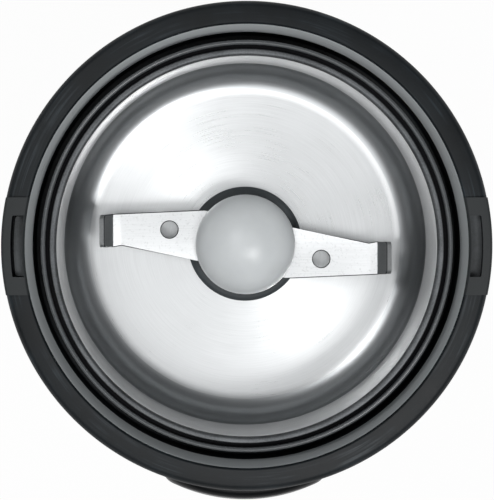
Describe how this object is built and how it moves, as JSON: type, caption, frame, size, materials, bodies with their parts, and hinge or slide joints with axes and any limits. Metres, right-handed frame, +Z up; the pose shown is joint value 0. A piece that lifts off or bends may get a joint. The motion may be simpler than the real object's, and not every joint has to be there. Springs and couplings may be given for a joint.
{
  "type": "electric spice grinder",
  "caption": "Hand-sized electric spice grinder, lid off: black casing with a front push button, open steel bowl, winged blade under a domed cap, and a groove with slotted lugs for the lid.",
  "frame": {"origin": "on the shaft's axis, at the level of the table that the foot ring stands on", "axes": "+Z up along the shaft, towards the open bowl; -Y to the front, where the push button is; the rim's lugs are at +X and -X, with the lid interlock at -X"},
  "size_m": [0.088, 0.093, 0.112],
  "materials": {
    "casing_plastic": "fine moulded texture",
    "carrier_plastic": "satin moulded",
    "button_plastic": "glossy",
    "plunger_plastic": "rough moulded",
    "cap_plastic": "satin, slightly translucent",
    "bowl_steel": "fine circular brushing",
    "blade_steel": "satin with ground edges",
    "hard_steel": "ground",
    "zinc_steel": "zinc plated",
    "spring_steel": "drawn wire",
    "seal_rubber": "moulded",
    "foot_rubber": "moulded",
    "felt": "pressed felt",
    "laminations": "stamped and oxidised",
    "copper": "enamelled wire",
    "commutator_copper": "turned",
    "bush_bronze": "sintered",
    "cast_metal": "die cast",
    "graphite": "pressed graphite",
    "fan_plastic": "natural nylon",
    "switch_plastic": "moulded",
    "switch_button": "moulded"
  },
  "bodies": {
    "housing": {"housing_shell": "casing_plastic", "top_ring": "casing_plastic", "bowl_carrier": "carrier_plastic", "carrier_screws": "zinc_steel", "bowl": "bowl_steel", "bowl_gasket": "seal_rubber", "bowl_pad": "felt", "shaft_seal": "seal_rubber", "stator_stack": "laminations", "field_coil_front": "copper", "field_coil_rear": "copper", "upper_bush": "bush_bronze", "lower_bush": "bush_bronze", "bush_retainers": "spring_steel", "upper_bracket": "cast_metal", "lower_bracket": "cast_metal", "motor_buffers": "foot_rubber", "buffer_screws": "zinc_steel", "motor_screws": "zinc_steel", "brush_holders": "switch_plastic", "carbon_brushes": "graphite", "brush_springs": "spring_steel", "button_guide": "casing_plastic", "button_spring": "spring_steel", "button_switch": "switch_plastic", "button_switch_bracket": "zinc_steel", "lid_switch": "switch_plastic", "lid_switch_bracket": "zinc_steel", "bracket_screws": "zinc_steel", "interlock_spring": "spring_steel", "base_plate": "casing_plastic", "base_screws": "zinc_steel", "foot_ring": "foot_rubber", "cord_bush": "foot_rubber"},
    "rotor": {"drive_shaft": "hard_steel", "blade_washer": "zinc_steel", "blade": "blade_steel", "blade_nut": "zinc_steel", "hub_cap": "cap_plastic", "armature_core": "laminations", "armature_winding": "copper", "commutator": "commutator_copper", "thrust_washers": "fan_plastic", "fan": "fan_plastic"},
    "button": {"push_button": "button_plastic"},
    "button_switch_tip": {"button_switch_plunger": "switch_button"},
    "interlock": {"interlock_plunger": "plunger_plastic"},
    "lid_switch_tip": {"lid_switch_plunger": "switch_button"}
  },
  "joints": [
    {"name": "rotor_spin", "type": "hinge", "parent": "housing", "child": "rotor", "pos_m": [0, 0, 0.05], "axis": [0, 0, 1], "continuous": true},
    {"name": "button_press", "type": "slide", "parent": "housing", "child": "button", "axis": [0, 1, 0], "range_m": [0, 0.002], "stiffness_N_per_m": 500, "springref_m": -0.003, "deforming": ["button_spring"]},
    {"name": "button_switch_press", "type": "slide", "parent": "housing", "child": "button_switch_tip", "axis": [0, 1, 0], "range_m": [0, 0.002]},
    {"name": "interlock_press", "type": "slide", "parent": "housing", "child": "interlock", "axis": [0, 0, -1], "range_m": [0, 0.002], "stiffness_N_per_m": 300, "springref_m": -0.003, "deforming": ["interlock_spring"]},
    {"name": "lid_switch_press", "type": "slide", "parent": "housing", "child": "lid_switch_tip", "axis": [0, 0, -1], "range_m": [0, 0.002]}
  ],
  "couplings": [
    {"joint": "button_switch_press", "follows": "button_press", "ratio": 1},
    {"joint": "lid_switch_press", "follows": "interlock_press", "ratio": 1}
  ]
}
